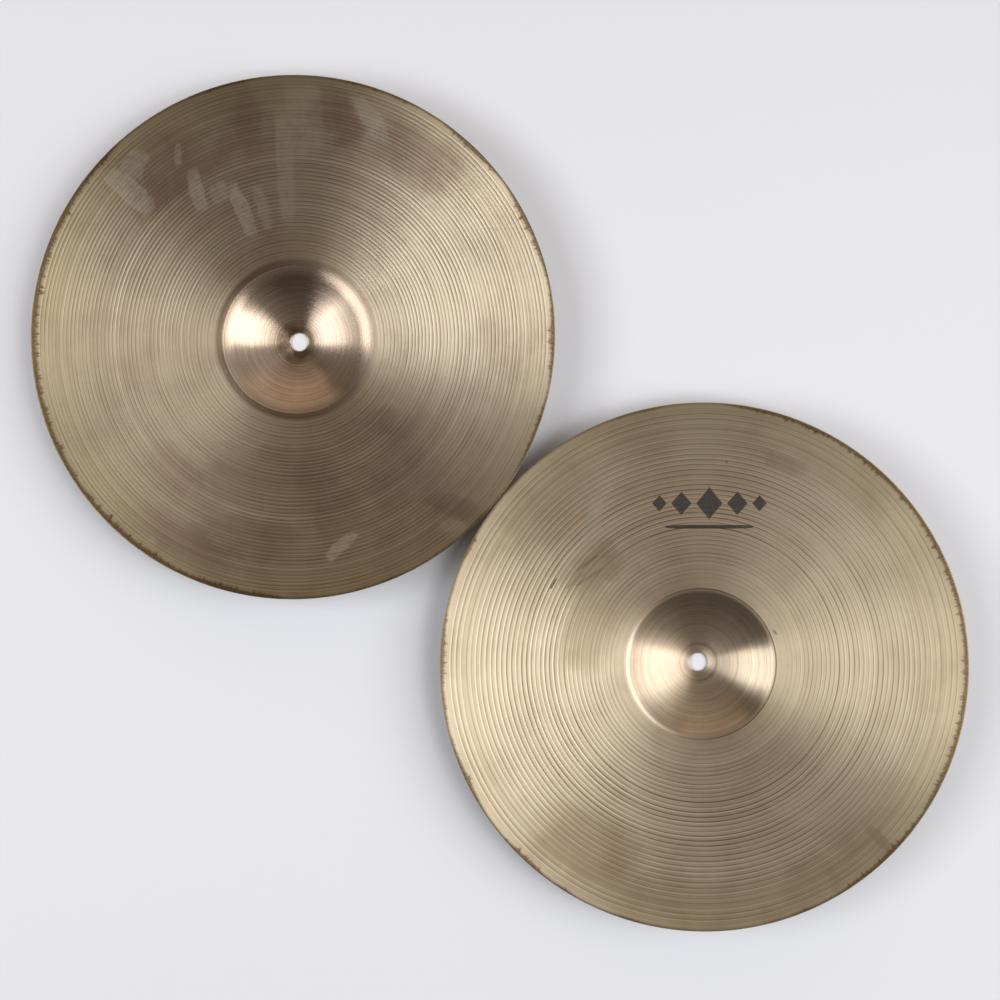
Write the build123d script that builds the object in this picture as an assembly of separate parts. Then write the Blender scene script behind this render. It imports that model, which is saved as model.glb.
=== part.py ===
from build123d import *
import math
import os

# A pair of loose 14 inch hi-hat cymbals, laid side by side on their bells with
# the hollow side up and the rims almost touching. Millimetres, +Z up. The
# origin is on the surface that they lie on, midway between them, and +X runs
# from the thin top cymbal to the heavy bottom one.

# Shared by both cymbals
CYMBAL_DIAMETER = 355.6
RIM_HEIGHT = 34.0         # rim's upper edge above the outside of the bell
RIM_GAP = 0.4             # clear distance between the two rims
ROD_HOLE_RADIUS = 6.25    # hole for the hi-hat rod or the clutch's tube
FLAT_RADIUS = 10.0        # flat ring around the hole, where a felt sits
FLAT_BLEND = 7.0          # radius that turns the flat ring into the dome
BELL_SLOPE = 33.0         # steepest slope of the bell's side, degrees
BOW_SLOPE = 4.0           # slope of the bow where it leaves the bell, degrees
RIM_ROUND = 0.3           # how far the middle of the rim's edge stands out

# The top cymbal is thin, and its bell runs softly into the bow. The bottom
# cymbal is heavy, with a slightly smaller bell and a crisper bend.
TOP = dict(bell_radius=54.0, bend_radius=22.0, bell_wall=1.6, rim_wall=0.8)
BOTTOM = dict(bell_radius=52.0, bend_radius=6.0, bell_wall=2.0, rim_wall=1.2)

# Worked out from the sizes above
RIM_RADIUS = CYMBAL_DIAMETER / 2
CENTRE_OFFSET = RIM_RADIUS + RIM_GAP / 2


def sine(degrees):
    return math.sin(math.radians(degrees))


def bell_curve(bell_radius, bend_radius, offset):
    """Half the bell's section, from the rod hole to the start of the bow.

    The outer face has offset 0. The inner face lies one wall above it, with
    the same centres, so the wall is even all over the bell.
    """
    dome_end = bell_radius - bend_radius * (sine(BELL_SLOPE) - sine(BOW_SLOPE))
    dome_radius = dome_end / sine(BELL_SLOPE)
    dome_start = math.degrees(math.asin(FLAT_RADIUS / (dome_radius - FLAT_BLEND)))
    flat = Line((ROD_HOLE_RADIUS, offset), (FLAT_RADIUS, offset))
    blend = JernArc(flat @ 1, flat % 1, FLAT_BLEND - offset, dome_start)
    dome = JernArc(blend @ 1, blend % 1, dome_radius - offset, BELL_SLOPE - dome_start)
    bend = JernArc(dome @ 1, dome % 1, bend_radius + offset, BOW_SLOPE - BELL_SLOPE)
    return [flat, blend, dome, bend]


def cymbal(bell_radius, bend_radius, bell_wall, rim_wall):
    """One cymbal around the Z axis: the bell is even, and the bow thins to the rim."""
    edge_radius = RIM_RADIUS - RIM_ROUND
    outer_rim = (edge_radius, RIM_HEIGHT - rim_wall)
    inner_rim = (edge_radius, RIM_HEIGHT)
    outer = bell_curve(bell_radius, bend_radius, 0)
    inner = bell_curve(bell_radius, bend_radius, bell_wall)
    outer_bow = TangentArc(outer[-1] @ 1, outer_rim, tangent=outer[-1] % 1)
    inner_bow = TangentArc(inner[-1] @ 1, inner_rim, tangent=inner[-1] % 1)
    rim = ThreePointArc(outer_rim, (RIM_RADIUS, RIM_HEIGHT - rim_wall / 2), inner_rim)
    hole = Line(inner[0] @ 0, outer[0] @ 0)
    section = make_face(outer + [outer_bow, rim, inner_bow] + inner + [hole])
    return revolve(Plane.XZ * section, Axis.Z)


nodes = {
    "top_cymbal": Pos(X=-CENTRE_OFFSET) * cymbal(**TOP),
    "bottom_cymbal": Pos(X=CENTRE_OFFSET) * cymbal(**BOTTOM),
}

os.makedirs("parts", exist_ok=True)
for name, solid in nodes.items():
    export_step(solid, f"parts/{name}.step")
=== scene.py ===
"""Looks for a loose pair of hi-hat cymbals that lie on their bells, hollow side up.

Each cymbal is rebuilt as one closed mesh with its lathe grooves cut in, round the
same section as its CAD solid, and gets a worn bronze. Lengths are in millimetres
until they go into a mesh or onto an object, where MM makes them metres. Only the
lamps and the floor are given in metres.
"""
import math
import bpy
import numpy as np
from mathutils import Matrix, Vector

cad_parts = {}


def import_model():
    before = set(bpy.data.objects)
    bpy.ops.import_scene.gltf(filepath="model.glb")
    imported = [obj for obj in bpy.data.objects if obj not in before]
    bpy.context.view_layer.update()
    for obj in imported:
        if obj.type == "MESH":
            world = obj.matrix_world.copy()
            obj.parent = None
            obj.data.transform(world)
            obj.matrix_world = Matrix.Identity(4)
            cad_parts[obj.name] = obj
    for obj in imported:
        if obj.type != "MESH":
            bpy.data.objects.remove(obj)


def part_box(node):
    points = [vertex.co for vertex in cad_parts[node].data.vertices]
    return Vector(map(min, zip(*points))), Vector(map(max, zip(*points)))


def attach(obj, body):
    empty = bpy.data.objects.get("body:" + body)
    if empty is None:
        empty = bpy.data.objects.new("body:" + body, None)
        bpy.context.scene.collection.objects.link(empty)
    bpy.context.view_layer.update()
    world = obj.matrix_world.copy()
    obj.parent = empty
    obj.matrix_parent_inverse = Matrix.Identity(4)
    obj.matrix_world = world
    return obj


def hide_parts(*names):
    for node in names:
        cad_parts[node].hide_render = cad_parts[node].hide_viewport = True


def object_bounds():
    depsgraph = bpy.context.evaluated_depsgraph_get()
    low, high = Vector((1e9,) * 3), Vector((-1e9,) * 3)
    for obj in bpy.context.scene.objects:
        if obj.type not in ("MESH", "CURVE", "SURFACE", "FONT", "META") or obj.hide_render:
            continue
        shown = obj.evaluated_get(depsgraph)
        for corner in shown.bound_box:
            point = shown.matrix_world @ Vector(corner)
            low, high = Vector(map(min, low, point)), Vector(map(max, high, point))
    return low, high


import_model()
cad_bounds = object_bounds()

MM = 0.001

# The section, the same for both cymbals
HOLE_RADIUS = 6.25
HOLE_ROUND = 0.3          # wear that rounds the hole's two edges
FLAT_RADIUS = 10.0        # flat ring round the hole
FLAT_BLEND = 7.0          # radius that turns the flat ring into the dome
BELL_SLOPE = 33.0         # steepest slope of the bell's side, degrees
BOW_SLOPE = 4.0           # slope of the bow where it leaves the bell, degrees
RIM_ROUND = 0.3           # how far the middle of the rim's edge stands out
PROFILE_POINTS = 3557     # points along one face, about 0.05 mm apart
SOFT_POINTS = 41          # how many of them each slope is averaged over

# How the faces are turned. The spreads are the random factors of each groove: its pitch, its depth and
# the strength of its painted crest highlight.
SEGMENTS = 180            # steps round each cymbal
BELL_RINGS = 70           # from the hole to the first groove
HOLLOW_STEPS = 5          # rings to each groove on the hollow side
OUTSIDE_STEPS = 3
PLAIN_RIM = 2.0           # ungrooved width at the rim
FADE_WIDTH = 18.0         # the grooves reach full depth this far out from the first one,
FADE_START = 0.45         # which has this share of it
PITCH_SPREAD = (0.92, 1.08)
DEPTH_SPREAD = (0.55, 1.25)
GLINT_SPREAD = (0.2, 1.0)

# Hammer dents, with full depth beyond the second radius of DENT_FADE
DENTS = 420
DENT_REACH = 11.0
DENT_DEPTH = 0.022
DENTED_RADII = (60, 168)
DENT_FADE = (58, 70)

# What differs. Angles are in degrees from +X.
#   grooves: (radius where a run of grooves starts, pitch). groove_depth: of the deepest
#     usual groove. bell_cuts: depth of the bell's fine cuts, as a share of that.
#   bow_rough, bell_rough: roughness across the fine turned lines. bell_grain: anisotropy.
#     metal: metallic share of the bow.
#   clean, bell_clean, brown: colours of the bow, of the bell and of their patina.
#   rim_band, ticks: width of the tarnished rim band, and reach of its ticks. The band is
#     widest at the azimuth tarnish_side.
#   golden, fresh, hole_dark: strength of the golden zone at the rim, of the paler side across
#     from tarnish_side, and of the darkening round the hole.
#   rings: (radius, half width, strength), dark above 0 and bright below. Those at the
#     bell's edge are painted shade and a painted highlight; the others are turned and rubbed rings.
#   wiped, stains, inked: (azimuth, radius, turn, half length, half width, strength).
CYMBALS = {
    "top_cymbal": dict(
        body="top", slot="top_bronze", seed=5,
        bell_radius=54.0, bend_radius=22.0, bell_wall=1.6, rim_wall=0.8,
        grooves=[(56.5, 2.33), (88.0, 2.50)], groove_depth=0.11, bell_cuts=0.2,
        bow_rough=(0.29, 0.38), bell_rough=(0.25, 0.31), bell_grain=0.94, metal=0.95,
        clean=(0.50, 0.415, 0.283), bell_clean=(0.60, 0.48, 0.36), brown=(0.272, 0.194, 0.133),
        rim_band=3.4, ticks=3.2, tarnish_side=235, golden=0.75, fresh=0.75, hole_dark=0.8,
        rings=[
            # The first two are painted shade and a painted highlight where the bell meets the bow
            (52.6, 3.2, 0.65), (50.4, 0.6, -0.5), (16.4, 0.5, -0.6),
            (20.5, 0.4, 0.3), (33.0, 0.5, -0.3),
        ],
        wiped=[
            (132, 118, 131, 36, 6, 0.5), (151, 96, 150, 19, 5, 0.95), (162, 122, 143, 14, 5, 0.85),
            (156, 113, 147, 7, 6, 0.6), (161, 148, 134, 7, 2.2, 0.7), (177, 150, 176, 18, 7, 1.0),
            (171, 160, 100, 10, 7, 0.7), (143, 93, 147, 15, 4, 0.5), (109, 157, 163, 18, 6, 0.7),
            (126, 148, 131, 24, 13, 0.4), (322, 145, 81, 12, 4, 1.0), (349, 168, 40, 9, 4, 0.4),
        ],
        stains=[
            (359, 94, 20, 20, 10, 0.7), (116, 152, 150, 20, 10, 0.8), (166, 157, 70, 24, 11, 0.8),
            (5, 111, 179, 16, 8, 0.6), (353, 121, 0, 26, 11, 0.7), (352, 156, 17, 22, 7, 0.7),
            (95, 150, 5, 28, 16, 0.9), (290, 101, 98, 18, 8, 0.6), (318, 112, 2, 30, 18, 0.6),
            (298, 140, 30, 32, 14, 0.6), (166, 143, 69, 30, 19, 0.95), (141, 149, 129, 22, 9, 0.45),
            (280, 157, 10, 30, 12, 0.95), (266, 122, 176, 22, 14, 0.8), (291, 98, 21, 28, 16, 0.75),
            (348, 116, 77, 26, 18, 0.8), (121, 153, 31, 12, 10, 0.7), (219, 105, 219, 50, 20, 0.4),
            (304, 89, 39, 30, 14, 0.7), (168, 140, 60, 12, 5, 0.8), (150, 138, 75, 14, 7, 0.5),
        ],
        inked=[],
    ),
    "bottom_cymbal": dict(
        body="bottom", slot="bottom_bronze", seed=11,
        bell_radius=52.0, bend_radius=6.0, bell_wall=2.0, rim_wall=1.2,
        grooves=[(59.5, 2.90), (88.0, 3.20), (115.0, 3.35)], groove_depth=0.11, bell_cuts=0.3,
        bow_rough=(0.34, 0.44), bell_rough=(0.27, 0.33), bell_grain=0.93, metal=0.88,
        clean=(0.485, 0.41, 0.28), bell_clean=(0.57, 0.47, 0.34), brown=(0.31, 0.23, 0.14),
        rim_band=3.0, ticks=2.6, tarnish_side=52, golden=0.45, fresh=0.15, hole_dark=0.2,
        # The first is painted shade at the bell's edge
        rings=[(51.6, 0.6, 0.7), (12.6, 0.9, 0.4), (15.5, 0.5, -0.3), (27.0, 0.6, 0.25)],
        wiped=[(166, 122, 120, 16, 6, 0.5)],
        stains=[
            (178, 98, 80, 20, 14, 0.9), (277, 145, 7, 34, 20, 0.8), (200, 80, 108, 28, 17, 0.8),
            (90, 160, 0, 30, 10, 0.35), (173, 150, 84, 36, 18, 0.5), (300, 155, 30, 60, 14, 0.35),
            (340, 158, 70, 40, 12, 0.3), (107, 147, 19, 14, 5, 0.6), (354, 166, 171, 12, 3.5, 1.0),
            (356, 149, 86, 32, 19, 0.45), (340, 168, 160, 18, 5, 0.5),
        ],
        inked=[
            (190, 115, 98, 4, 0.8, 0.7), (177, 104, 75, 9, 1.1, 0.3), (181, 97, 72, 11, 1.0, 0.3),
            (185, 103, 80, 8, 1.0, 0.2), (122, 139, 176, 1.0, 0.5, 0.8), (62, 55, 170, 2, 0.8, 0.5),
        ],
    ),
}

# The ornament printed on the bottom cymbal's hollow side: a row of diamonds,
# (place along the row, half length, half width), over a thin bar.
PRINT_AT = (126, 110)     # azimuth in degrees and radius of its middle
DIAMONDS = [(-34, 5, 5.5), (-19, 7, 8), (0, 9, 11), (19, 7, 8), (34, 5, 5.5)]
PRINT_BAR = (-16, 30, 1.3)

# Colours that both share
PINK = (0.50, 0.39, 0.29)
GOLDEN = (0.46, 0.385, 0.22)
FRESH = (0.68, 0.58, 0.42)
RIM_BROWN = (0.12, 0.07, 0.03)
GREASE = (0.42, 0.39, 0.33)
# Dark brown of the groove lines, of the painted shade where the bell meets the bow, and of dark rings
GROOVE_AND_SHADE_BROWN = (0.13, 0.08, 0.035)
# Pale bronze of the painted highlights on the groove crests and at the bell's edge, and of rubbed rings
GLINT_AND_RUBBED = (0.76, 0.65, 0.50)
INK = (0.024, 0.021, 0.019)

# Strengths that both share
BOW_GRAIN = 0.85          # anisotropy of the bow
BELL_METAL = 0.98         # metallic share of the bell
OUTSIDE_DULL = 0.35       # patina that the outside has on top
STAIN_DULL = 0.72         # patina of a full stain
STAIN_ROUGH = 0.06
STAIN_SOFT = 0.85         # softness of a stain's edge
WIPE_CLEAN = 0.25         # patina that a full wipe takes away
WIPE_GREASE = 0.4         # grease that it leaves behind
WIPE_SOFT = 0.3
WOBBLE = 12               # how far the outlines of stains wander
GROOVE_FILL = 0.7         # how far full stains and wipes fill the grooves
# Strength of the painted highlight on the groove crests
GLINT_STRENGTH = 0.8
INK_ROUGH = 0.55
STEADY_BAND = 0.25        # share of the rim band that runs all the way round

# The studio. Its right and up are the camera's, turned from +X and +Y by VIEW_TURN.
VIEW_TURN = math.radians(38.73)
CAMERA_OVER_RIM = 1010.0  # height above the rims
CAMERA_AT = (13.1, -12.95)  # right and up of the frame's origin
CAMERA_TILT = (math.radians(0.77), math.radians(0.65))
LENS = 53.9
SENSOR = 36.0
FLOOR_HALF = 15.0         # half the floor's side
FLOOR_GREY = (0.675, 0.69, 0.697)
FAR_GLOW = 0.45           # the floor's own light beyond the lamps' reach, which
GLOW_FROM = 0.9           # fades in between these distances
GLOW_FULL = 2.6

# The room's light. Glows are (azimuth, elevation, sharpness, colour), in degrees on
# the studio's axes.
ROOM = (0.022, 0.015, 0.011)
GLOWS = [
    (99, 4, 3, (0.51, 0.372, 0.295)),
    (9, 47, 4, (0.60, 0.57, 0.54)),
    (0, 90, 6, (0.104, 0.091, 0.084)),
]
HORIZON = (0.62, 0.62, 0.62)
HORIZON_RISE = 0.22       # sine of the elevation where the horizon's band has faded out

# Lamps that face the middle of the table: azimuth and elevation, then distance, width
# and height in metres, the radiance of the face, and its colour.
COOL_WHITE = (0.98, 0.985, 1.05)
LAMPS = {
    "right_softbox": (-4, 50, 2.2, 1.32, 1.78, 3.4, COOL_WHITE),
    "left_softbox": (186, 50, 2.2, 1.32, 1.18, 4.15, COOL_WHITE),
    "warm_board": (95, 34, 2.2, 2.6, 1.0, 0.40, (1.14, 0.92, 0.77)),
}
TABLE_LAMPS = {           # these light only the table
    "right_fill": (340, 70, 1.6, 0.5, 0.5, 7.0, COOL_WHITE),
    "left_fill": (180, 38, 2.2, 0.8, 0.5, 6.0, COOL_WHITE),
}


# ---------------------------------------------------------------- the section

def sine(degrees):
    return math.sin(math.radians(degrees))


def face_curve(spec, rim_radius, rim_z, offset):
    """Radii and heights of one face, from the flat ring at the hole to the rim.

    Along an arc the sine of the slope grows evenly with the radius, so the whole
    section is one broken line of sines. offset is 0 for the outside of the bell
    and the bell's wall for the inside. The bow's last slope is found so that the
    face ends at rim_z.
    """
    dome_end = spec["bell_radius"] - spec["bend_radius"] * (sine(BELL_SLOPE) - sine(BOW_SLOPE))
    dome_radius = dome_end / sine(BELL_SLOPE)
    dome_start = FLAT_RADIUS / (dome_radius - FLAT_BLEND)
    sines = np.array([0, 0, dome_start, sine(BELL_SLOPE), sine(BOW_SLOPE)])
    knots = np.array([0, FLAT_RADIUS, dome_start * dome_radius, dome_end, spec["bell_radius"]])
    knots = np.append(knots - offset * sines, rim_radius)
    radii = np.linspace(0, rim_radius, PROFILE_POINTS)
    softening = np.full(SOFT_POINTS, 1 / SOFT_POINTS)
    rim_sine = 0.2
    for _ in range(5):
        slope = np.interp(radii, knots, np.append(sines, rim_sine))
        slope = np.convolve(np.pad(slope, SOFT_POINTS // 2, mode="edge"), softening, "valid")
        rise = slope / np.sqrt(1 - slope ** 2)
        heights = offset + np.concatenate([[0], np.cumsum((rise[1:] + rise[:-1]) / 2)]) * radii[1]
        rim_sine += 2 * (rim_z - heights[-1]) / (rim_radius - spec["bell_radius"])
    return radii, heights


def groove_bottoms(spec, last_radius, rng):
    """Radii of the bottoms of the lathe grooves, with a little unevenness."""
    bottoms = [spec["grooves"][0][0]]
    while bottoms[-1] < last_radius:
        pitch = [p for start, p in spec["grooves"] if bottoms[-1] >= start][-1]
        bottoms.append(bottoms[-1] + pitch * rng.uniform(*PITCH_SPREAD))
    return np.array(bottoms[:-1])


def lathed_rings(spec, rim_radius, rng, steps):
    """Radii of the rings on one face, with how deep each is cut and how strong a painted highlight each
    carries.

    Each groove has steps rings. The first is at its bottom, and the second, beside it,
    carries a painted highlight along the crest. The grooves fade in from the bell outwards.
    """
    bell = np.linspace(HOLE_RADIUS + HOLE_ROUND, spec["grooves"][0][0], BELL_RINGS)[:-1]
    bell_cuts = rng.uniform(0, spec["bell_cuts"], len(bell)) * (bell > FLAT_RADIUS + 1)
    bottoms = groove_bottoms(spec, rim_radius - PLAIN_RIM, rng)
    share = np.arange(steps) / steps
    profile = np.abs(2 * share - 1) ** 4
    radii, cuts, ridge_glints = [], [], []
    for low, high in zip(bottoms[:-1], bottoms[1:]):
        radii.extend(low + share * (high - low))
        fade = np.interp(low, [bottoms[0], bottoms[0] + FADE_WIDTH], [FADE_START, 1])
        cuts.extend(profile * fade * rng.uniform(*DEPTH_SPREAD))
        # Painted highlight: the ring beside each bottom gets a strength that only brightens its colour
        ridge_glints.extend((np.arange(steps) == 1) * fade * rng.uniform(*GLINT_SPREAD))
    last = np.linspace(bottoms[-1], rim_radius - RIM_ROUND, 5)
    radii = np.concatenate([bell, radii, last])
    cuts = np.concatenate([bell_cuts, cuts, last * 0])
    ridge_glints = np.concatenate([bell * 0, ridge_glints, last * 0])
    return radii, cuts, ridge_glints


def section_rings(spec, rim_radius, rim_z, rng):
    """The closed section, ring by ring: hollow side, rim, outside, the hole's two edges.

    Returns the rings' radii, heights, cuts and painted highlight strengths, and how far
    each is on the hollow side.
    """
    edge = rim_radius - RIM_ROUND
    wall, rim_wall = spec["bell_wall"], spec["rim_wall"]
    inner_r, inner_cut, inner_glint = lathed_rings(spec, rim_radius, rng, HOLLOW_STEPS)
    outer_r, outer_cut, outer_glint = lathed_rings(spec, rim_radius, rng, OUTSIDE_STEPS)
    inner_z = np.interp(inner_r, *face_curve(spec, edge, rim_z, wall))
    outer_z = np.interp(outer_r, *face_curve(spec, edge, rim_z - rim_wall, 0))
    inner_z -= inner_cut * spec["groove_depth"]
    outer_z += outer_cut * spec["groove_depth"]

    turn = np.radians([60, 30, 0, -30, -60])
    rim_r = edge + RIM_ROUND * np.cos(turn)
    edge_z = rim_z - rim_wall / 2 * (1 - np.sin(turn))
    corner = np.radians([20, 45, 70])
    hole_r = HOLE_RADIUS + HOLE_ROUND * (1 - np.sin(corner))
    hole_z = HOLE_ROUND * (1 - np.cos(corner))

    bands = [
        (inner_r, inner_z, inner_cut, inner_glint, 1),
        (rim_r, edge_z, 0, 0, 0.5),
        (outer_r[::-1], outer_z[::-1], outer_cut[::-1], outer_glint[::-1], 0),
        (hole_r, hole_z, 0, 0, 0),
        (hole_r[::-1], wall - hole_z[::-1], 0, 0, 1),
    ]
    filled = [[np.broadcast_to(values, len(band[0])) for values in band] for band in bands]
    return [np.concatenate(column) for column in zip(*filled)]


def dents(x, y, rng):
    """Heights of soft, shallow hammer dents spread at random over the bow."""
    height = np.zeros_like(x)
    for _ in range(DENTS):
        angle, radius = rng.uniform(0, 2 * math.pi), rng.uniform(*DENTED_RADII)
        away = (x - radius * math.cos(angle)) ** 2 + (y - radius * math.sin(angle)) ** 2
        height += DENT_DEPTH * rng.uniform(-1, 1) * np.exp(-away / DENT_REACH ** 2)
    return height


def cymbal_mesh(name, spec):
    """The cymbal as one closed grid of rings. Returns the mesh, its centre and its radius."""
    low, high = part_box(name)
    centre = (low + high) / 2
    rim_radius = (high.y - low.y) / 2 / MM
    rng = np.random.default_rng(spec["seed"])
    radii, heights, cuts, ridge_glints, hollow = section_rings(spec, rim_radius, high.z / MM, rng)

    angles = np.arange(SEGMENTS) * 2 * math.pi / SEGMENTS
    x = np.outer(radii, np.cos(angles))
    y = np.outer(radii, np.sin(angles))
    z = heights[:, None] + dents(x, y, rng) * np.interp(radii, DENT_FADE, [0, 1])[:, None]
    points = np.stack([x, y, z], axis=-1).reshape(-1, 3) * MM + np.array([centre.x, centre.y, 0])

    rings = len(radii)
    ring, step = np.meshgrid(np.arange(rings), np.arange(SEGMENTS), indexing="ij")
    next_ring, next_step = (ring + 1) % rings, (step + 1) % SEGMENTS
    corners = [ring * SEGMENTS + step, next_ring * SEGMENTS + step,
               next_ring * SEGMENTS + next_step, ring * SEGMENTS + next_step]
    quads = np.stack(corners, axis=-1).reshape(-1, 4)
    mesh = bpy.data.meshes.new(name + "_lathed")
    mesh.from_pydata(points, [], quads)
    mesh.shade_smooth()
    # The second attribute holds the strength of the painted highlight on the groove crests
    for label, values in (("groove", cuts), ("ridge_glint", ridge_glints), ("hollow", hollow)):
        attribute = mesh.attributes.new(label, "FLOAT", "POINT")
        attribute.data.foreach_set("value", np.repeat(values, SEGMENTS).astype(np.float32))
    return mesh, centre, rim_radius


# ---------------------------------------------------------------- materials

class Nodes:
    """Short calls for building one node tree."""

    def __init__(self, owner):
        self.owner = owner
        owner.use_nodes = True
        self.tree = owner.node_tree
        self.tree.nodes.clear()

    def add(self, kind, inputs=(), **settings):
        node = self.tree.nodes.new("ShaderNode" + kind)
        for key, value in settings.items():
            setattr(node, key, value)
        for key, value in dict(inputs).items():
            if isinstance(value, bpy.types.NodeSocket):
                self.tree.links.new(value, node.inputs[key])
            else:
                node.inputs[key].default_value = value
        return node

    def math(self, operation, a, b=0.0, clamp=False):
        return self.add("Math", {0: a, 1: b}, operation=operation, use_clamp=clamp).outputs[0]

    def total(self, *values):
        result = values[0]
        for value in values[1:]:
            result = self.math("ADD", result, value)
        return result

    def vector(self, operation, a, b=(0, 0, 0)):
        return self.add("VectorMath", {0: a, 1: b}, operation=operation).outputs["Vector"]

    def measure(self, operation, a, b=(0, 0, 0)):
        return self.add("VectorMath", {0: a, 1: b}, operation=operation).outputs["Value"]

    def ramp(self, value, low, high, start=0.0, end=1.0):
        """value taken smoothly from low..high to start..end."""
        inputs = {"Value": value, "From Min": low, "From Max": high, "To Min": start, "To Max": end}
        return self.add("MapRange", inputs, interpolation_type="SMOOTHSTEP").outputs["Result"]

    def noise(self, vector, scale, detail=2.0, rough=0.5):
        inputs = {"Vector": vector, "Scale": scale, "Detail": detail, "Roughness": rough}
        return self.add("TexNoise", inputs).outputs["Fac"]

    def noise_along(self, value, scale, detail=2.0, rough=0.6):
        inputs = {"W": value, "Scale": scale, "Detail": detail, "Roughness": rough}
        return self.add("TexNoise", inputs, noise_dimensions="1D").outputs["Fac"]

    def mix(self, share, a, b):
        a, b = [tuple(c) + (1,) if isinstance(c, tuple) else c for c in (a, b)]
        return self.add("Mix", {0: share, 6: a, 7: b}, data_type="RGBA").outputs[2]

    def blend(self, share, a, b):
        return self.add("Mix", {0: share, 2: a, 3: b}).outputs[0]

    def finish(self, shader, kind="OutputMaterial"):
        out = self.add(kind)
        self.tree.links.new(shader, out.inputs["Surface"])
        return self.owner


def patch(n, flat, at, turn, half_length, half_width, soft, diamond=False):
    """1 inside a rounded oblong or a diamond on the cymbal's plan, 0 outside."""
    azimuth, radius = at
    x, y = radius * math.cos(math.radians(azimuth)), radius * math.sin(math.radians(azimuth))
    local = n.vector("SUBTRACT", flat, (x, y, 0))
    inputs = {"Vector": local, "Angle": -math.radians(turn)}
    local = n.add("VectorRotate", inputs, rotation_type="Z_AXIS").outputs[0]
    local = n.vector("MULTIPLY", local, (1 / half_length, 1 / half_width, 0))
    if diamond:
        away = n.measure("DOT_PRODUCT", n.vector("ABSOLUTE", local), (1, 1, 0))
    else:
        away = n.measure("LENGTH", n.vector("MULTIPLY", local, local))
    return n.ramp(away, 1 + soft, 1 - soft)


def marks(n, flat, rows, soft):
    """The strongest of several patches."""
    result = 0.0
    for azimuth, radius, turn, half_length, half_width, strength in rows:
        mark = patch(n, flat, (azimuth, radius), turn, half_length, half_width, soft)
        result = n.math("MAXIMUM", result, n.math("MULTIPLY", mark, strength))
    return result


def ring(n, radius, middle, half_width, strength):
    """A soft ring round the axis, as strong as strength whatever its sign."""
    away = n.math("ABSOLUTE", n.math("SUBTRACT", radius, middle))
    return n.ramp(away, half_width * 1.3, half_width * 0.4, 0.0, abs(strength))


def ornament(n, flat):
    """The printed row of diamonds and its bar, facing the way the studio does."""
    azimuth, radius = PRINT_AT
    across = math.degrees(VIEW_TURN)
    middle = Vector((radius, 0, 0))
    middle.rotate(Matrix.Rotation(math.radians(azimuth), 3, "Z"))
    result = 0.0
    rows = [(along, 0, length, width, True) for along, length, width in DIAMONDS]
    rows.append((0, *PRINT_BAR, False))
    for along, up, length, width, diamond in rows:
        step = Vector((along, up, 0))
        step.rotate(Matrix.Rotation(VIEW_TURN, 3, "Z"))
        spot = middle + step
        at = (math.degrees(math.atan2(spot.y, spot.x)), spot.length)
        result = n.math("MAXIMUM", result, patch(n, flat, at, across, length, width, 0.07, diamond))
    return result


def hand_marks(n, spec, flat, hollow, inward):
    """Where hands have wiped and smeared the hollow side: wiped and stained shares."""
    wobble = n.add("TexNoise", {"Vector": flat, "Scale": 0.09, "Detail": 3.0}).outputs["Color"]
    wobble = n.vector("MULTIPLY", n.vector("SUBTRACT", wobble, (0.5, 0.5, 0.5)), (WOBBLE, WOBBLE, 0))
    touched = n.vector("ADD", flat, n.vector("MULTIPLY", wobble, (0.5, 0.5, 0)))
    smeared = n.vector("ADD", flat, wobble)
    brushed = n.ramp(n.noise(flat, 0.22, 4.0, 0.7), 0.3, 0.62, 0.35, 1.0)
    wiped = n.math("MULTIPLY", marks(n, touched, spec["wiped"], WIPE_SOFT), brushed)
    wiped = n.math("MULTIPLY", wiped, hollow)
    stains = n.math("MULTIPLY", marks(n, smeared, spec["stains"], STAIN_SOFT), hollow)
    stains = n.math("MULTIPLY", stains, n.ramp(inward, 1.5, 9.0, 0.15, 1.0))
    return wiped, stains


def rim_tarnish(n, spec, flat, outward, inward, side):
    """A dark band at the rim, widest on two sides, with short ticks that run inwards."""
    both = n.math("ABSOLUTE", side)
    heavy = n.total(n.ramp(side, -0.4, 0.8, 0.0, 0.45), n.ramp(both, 0.3, 0.9, 0.0, 0.6),
                    n.ramp(n.noise(outward, 3.0, 3.0), 0.35, 0.65, -0.35, 0.25))
    ticks = n.ramp(n.noise(outward, 55.0, 4.0, 0.75), 0.46, 0.70, 0.0, spec["ticks"])
    steady = STEADY_BAND * spec["rim_band"]
    reach = n.math("ADD", ticks, spec["rim_band"] - steady)
    reach = n.math("MULTIPLY", n.ramp(heavy, 0.05, 0.95), reach)
    reach = n.math("ADD", reach, steady)
    band = n.ramp(n.math("SUBTRACT", inward, reach), 1.3, -1.3)
    mottled = n.ramp(n.noise(flat, 0.9, 3.0, 0.7), 0.35, 0.6, 0.6, 1.0)
    return n.math("MULTIPLY", band, n.math("MULTIPLY", mottled, n.ramp(inward, 0.0, 0.9, 0.5, 1.0)))


def hole_darkening(n, spec, flat, radius, side):
    """Darker round the hole, wider towards tarnish_side, but not on the hole's own edge."""
    away = n.math("SUBTRACT", radius, n.ramp(side, -0.3, 0.8, 0.0, 4.0))
    hole_dark_share = n.ramp(away, 18.0, 7.5, 0.0, spec["hole_dark"])
    hole_dark_share = n.math("MULTIPLY", hole_dark_share, n.ramp(radius, 6.4, 7.2))
    return n.math("MULTIPLY", hole_dark_share, n.ramp(n.noise(flat, 0.15, 3.0), 0.3, 0.6, 0.6, 1.0))


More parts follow.
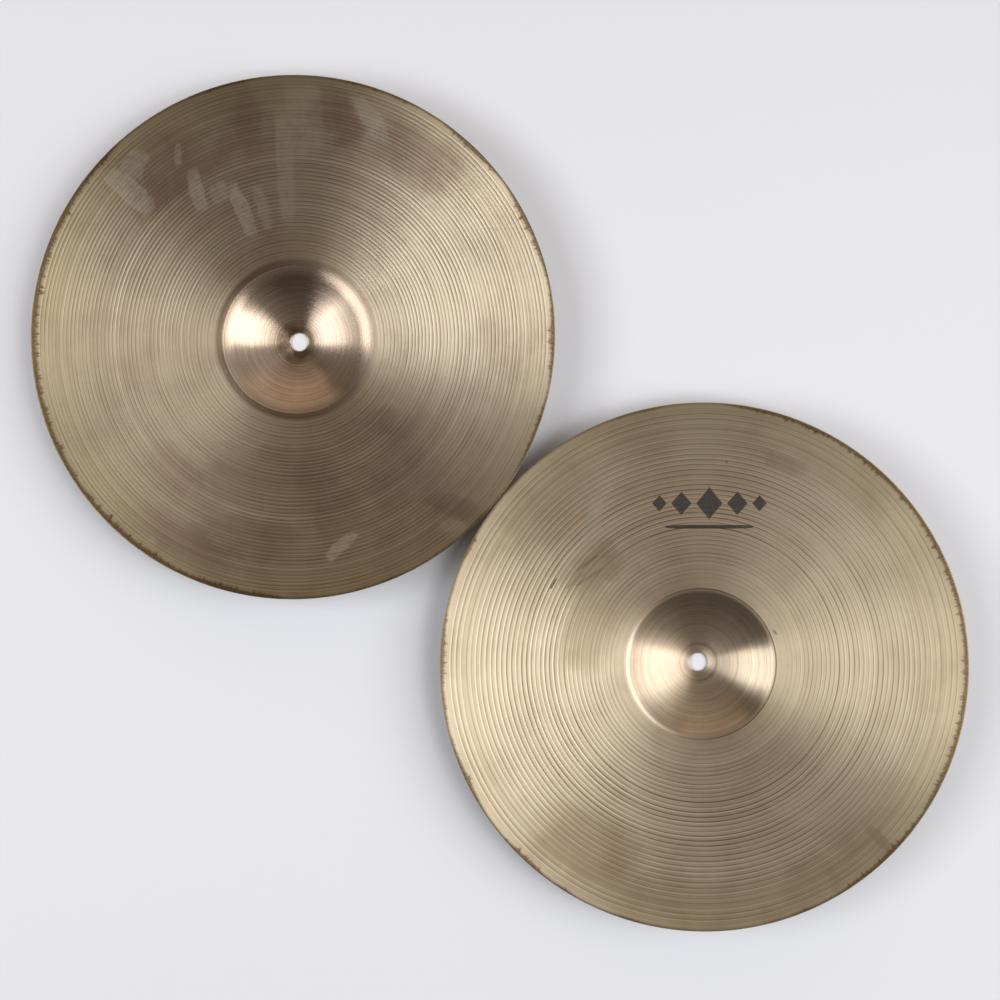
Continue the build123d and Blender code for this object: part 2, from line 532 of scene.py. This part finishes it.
def worn_ink(n, spec, flat, hollow):
    """The pen strokes and the ornament, worn through a little on the ridges."""
    ink = marks(n, flat, spec["inked"], 0.3)
    if spec["inked"]:
        ink = n.math("MAXIMUM", ink, n.math("MULTIPLY", ornament(n, flat), 0.95))
    worn = n.ramp(n.noise(flat, 1.1, 3.0), 0.3, 0.5, 0.8, 1.0)
    return n.math("MULTIPLY", ink, n.math("MULTIPLY", hollow, worn))


def bronze(name, spec, centre, rim_radius):
    """Worn, lathed bronze. Everything is laid out on the plan in millimetres."""
    n = Nodes(bpy.data.materials.new(name))
    place = n.vector("SUBTRACT", n.add("TexCoord").outputs["Object"], (centre.x, centre.y, 0))
    flat = n.vector("MULTIPLY", place, (1 / MM, 1 / MM, 0))
    radius = n.measure("LENGTH", flat)
    inward = n.math("SUBTRACT", rim_radius, radius)
    outward = n.vector("NORMALIZE", flat)
    side = math.radians(spec["tarnish_side"])
    side = n.measure("DOT_PRODUCT", outward, (math.cos(side), math.sin(side), 0))
    groove = n.add("Attribute", attribute_name="groove").outputs["Fac"]
    ridge_glint = n.add("Attribute", attribute_name="ridge_glint").outputs["Fac"]
    hollow = n.ramp(n.add("Attribute", attribute_name="hollow").outputs["Fac"], 0.6, 0.9)
    bell = n.ramp(radius, spec["bell_radius"] + 1.5, spec["bell_radius"] - 1.0)
    fine = n.noise_along(radius, 1.6, 4.0)
    wiped, stains = hand_marks(n, spec, flat, hollow, inward)
    ink = worn_ink(n, spec, flat, hollow)

    # How much of the surface is dulled brown: clouds, fine turned lines, stains, and
    # all of the outside a little
    cloud = n.noise(flat, 0.018, 4.0, 0.6)
    coarse = n.noise_along(radius, 0.45, 2.0)
    patina = n.math("MULTIPLY", n.ramp(cloud, 0.38, 0.72), 0.45)
    patina = n.total(patina, n.ramp(fine, 0.3, 0.7, -0.10, 0.14), n.ramp(coarse, 0.3, 0.7, -0.10, 0.14))
    patina = n.math("ADD", patina, n.math("MULTIPLY", stains, STAIN_DULL))
    patina = n.math("ADD", patina, n.math("MULTIPLY", wiped, -WIPE_CLEAN))
    patina = n.math("ADD", patina, n.math("MULTIPLY", n.math("SUBTRACT", 1.0, hollow), OUTSIDE_DULL))
    patina = n.math("MULTIPLY", patina, 1.0, clamp=True)

    # The bronze itself: pink in places, paler on one side, golden towards the rim
    tint = n.noise(flat, 0.011, 2.0)
    golden = n.ramp(inward, 40.0, 3.0, 0.0, spec["golden"])
    golden = n.math("MULTIPLY", golden, n.ramp(side, -1.0, -0.1, 0.4, 1.0))
    clean = n.mix(n.ramp(tint, 0.4, 0.62, 0.0, 0.3), spec["clean"], PINK)
    clean = n.mix(n.ramp(side, -0.7, -0.97, 0.0, spec["fresh"]), clean, FRESH)
    clean = n.mix(golden, clean, GOLDEN)
    clean = n.mix(bell, clean, spec["bell_clean"])
    colour = n.mix(patina, clean, spec["brown"])

    # Dark grooves, and painted highlights on the crests beside them, fainter where they are filled and
    # near the rim
    lines = n.math("MULTIPLY", groove, n.ramp(n.noise(flat, 0.03, 2.0), 0.3, 0.6, 0.5, 0.9))
    filled = n.math("MULTIPLY", n.math("MAXIMUM", stains, wiped), GROOVE_FILL)
    open_share = n.math("SUBTRACT", 1.0, filled)
    open_share = n.math("MULTIPLY", open_share, n.ramp(inward, 5.0, 50.0, 0.55, 1.0))
    colour = n.mix(n.math("MULTIPLY", lines, open_share), colour, GROOVE_AND_SHADE_BROWN)
    ridge_glint = n.math("MULTIPLY", ridge_glint, open_share)
    colour = n.mix(n.math("MULTIPLY", ridge_glint, GLINT_STRENGTH), colour, GLINT_AND_RUBBED)

    # Rings on the bell, stronger on one side: painted shade and a painted highlight where the
    # bell meets the bow, and turned and rubbed rings. Then the rim's tarnish, the darkening
    # round the hole, grease and ink on top
    # Weighting every ring by side makes the painted shade at the bend darkest on one side, where shade
    # falls on it
    ring_side_weight = n.math("MULTIPLY", hollow, n.ramp(side, -0.9, 0.6, 0.25, 1.0))
    for middle, half_width, strength in spec["rings"]:
        share = n.math("MULTIPLY", ring(n, radius, middle, half_width, strength), ring_side_weight)
        colour = n.mix(share, colour, GROOVE_AND_SHADE_BROWN if strength > 0 else GLINT_AND_RUBBED)
    band = rim_tarnish(n, spec, flat, outward, inward, side)
    hole_dark_share = hole_darkening(n, spec, flat, radius, side)
    colour = n.mix(n.math("MAXIMUM", band, hole_dark_share), colour, RIM_BROWN)
    colour = n.mix(n.math("MULTIPLY", wiped, WIPE_GREASE), colour, GREASE)
    colour = n.mix(ink, colour, INK)

    rough_bow = n.ramp(fine, 0.25, 0.75, *spec["bow_rough"])
    rough_bell = n.ramp(fine, 0.25, 0.75, *spec["bell_rough"])
    rough = n.total(n.blend(bell, rough_bow, rough_bell), n.math("MULTIPLY", stains, STAIN_ROUGH))
    rough = n.blend(ink, rough, INK_ROUGH)
    metal = n.math("SUBTRACT", n.blend(bell, spec["metal"], BELL_METAL), n.math("MULTIPLY", wiped, 0.2))
    metal = n.math("MULTIPLY", metal, n.math("SUBTRACT", 1.0, n.math("MULTIPLY", ink, 0.9)))
    bump = n.add("Bump", {"Height": fine, "Strength": 0.4, "Distance": 0.012 * MM})
    surface = n.add("BsdfPrincipled", {
        "Base Color": colour, "Metallic": metal, "Roughness": rough,
        "Anisotropic": n.blend(bell, BOW_GRAIN, spec["bell_grain"]), "Tangent": outward,
        "Normal": bump.outputs[0],
    })
    return n.finish(surface.outputs[0])


# ---------------------------------------------------------------- the two cymbals

for node_name, spec in CYMBALS.items():
    mesh, centre, rim_radius = cymbal_mesh(node_name, spec)
    mesh.materials.append(bronze(spec["slot"], spec, centre, rim_radius))
    piece = bpy.data.objects.new(node_name + "_lathed", mesh)
    bpy.context.scene.collection.objects.link(piece)
    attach(piece, spec["body"])
    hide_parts(node_name)


# ---------------------------------------------------------------- studio

def studio_point(right, up, height):
    """A point in the row frame, in metres, from the studio's own axes in millimetres."""
    x = right * math.cos(VIEW_TURN) - up * math.sin(VIEW_TURN)
    y = right * math.sin(VIEW_TURN) + up * math.cos(VIEW_TURN)
    return Vector((x, y, height)) * MM


def studio_direction(azimuth, elevation):
    """A unit direction from the studio's azimuth (from its right) and elevation, in degrees."""
    turn, rise = VIEW_TURN + math.radians(azimuth), math.radians(elevation)
    return Vector((math.cos(turn) * math.cos(rise), math.sin(turn) * math.cos(rise), math.sin(rise)))


def softbox(name, azimuth, elevation, distance, width, height, radiance, colour):
    """A rectangular area light that faces the middle of the table."""
    light = bpy.data.lights.new(name, "AREA")
    light.shape = "RECTANGLE"
    light.size, light.size_y = width, height
    light.energy = radiance * math.pi * width * height
    light.color = colour
    lamp = bpy.data.objects.new(name, light)
    bpy.context.scene.collection.objects.link(lamp)
    away = studio_direction(azimuth, elevation)
    lamp.location = away * distance
    lamp.rotation_euler = away.to_track_quat("Z", "Y").to_euler()
    return lamp


def floor():
    """The pale table top that the bells rest on. Far out, where the lamps don't reach, it glows."""
    corners = [(-1, -1, 0), (1, -1, 0), (1, 1, 0), (-1, 1, 0)]
    mesh = bpy.data.meshes.new("floor")
    mesh.from_pydata([Vector(corner) * FLOOR_HALF for corner in corners], [], [(0, 1, 2, 3)])
    table = bpy.data.objects.new("floor", mesh)
    bpy.context.scene.collection.objects.link(table)
    n = Nodes(bpy.data.materials.new("pale_table"))
    away = n.measure("LENGTH", n.add("TexCoord").outputs["Object"])
    surface = n.add("BsdfPrincipled", {
        "Base Color": (*FLOOR_GREY, 1), "Roughness": 0.8,
        "Emission Color": (1, 1, 1, 1),
        "Emission Strength": n.ramp(away, GLOW_FROM, GLOW_FULL, 0.0, FAR_GLOW),
    })
    mesh.materials.append(n.finish(surface.outputs[0]))
    return table


def world():
    """A dim room with a few broad glows, and a paler band at the horizon."""
    n = Nodes(bpy.data.worlds.new("studio"))
    bpy.context.scene.world = n.owner
    ray = n.vector("NORMALIZE", n.add("TexCoord").outputs["Generated"])
    light = ROOM
    for azimuth, elevation, sharpness, colour in GLOWS:
        facing = n.measure("DOT_PRODUCT", ray, studio_direction(azimuth, elevation))
        facing = n.math("POWER", n.math("MAXIMUM", facing, 0.0), sharpness)
        glow = n.add("VectorMath", {0: colour, "Scale": facing}, operation="SCALE").outputs["Vector"]
        light = n.vector("ADD", light, glow)
    rise = n.add("SeparateXYZ", {0: ray}).outputs[2]
    light = n.mix(n.ramp(rise, HORIZON_RISE, 0.0), light, HORIZON)
    n.finish(n.add("Background", {"Color": light}).outputs[0], "OutputWorld")


def camera():
    eye = bpy.data.objects.new("camera", bpy.data.cameras.new("camera"))
    bpy.context.scene.collection.objects.link(eye)
    eye.data.sensor_width = SENSOR
    eye.data.lens = LENS
    eye.data.clip_start = 0.01
    eye.location = studio_point(*CAMERA_AT, cad_bounds[1].z / MM + CAMERA_OVER_RIM)
    eye.rotation_euler = (*CAMERA_TILT, VIEW_TURN)
    bpy.context.scene.camera = eye


table = floor()
world()
table_only = bpy.data.collections.new("table_only")
table_only.objects.link(table)
for lamp_name, lamp_row in LAMPS.items():
    softbox(lamp_name, *lamp_row)
for lamp_name, lamp_row in TABLE_LAMPS.items():
    softbox(lamp_name, *lamp_row).light_linking.receiver_collection = table_only
camera()
bpy.context.scene.view_settings.view_transform = "Standard"
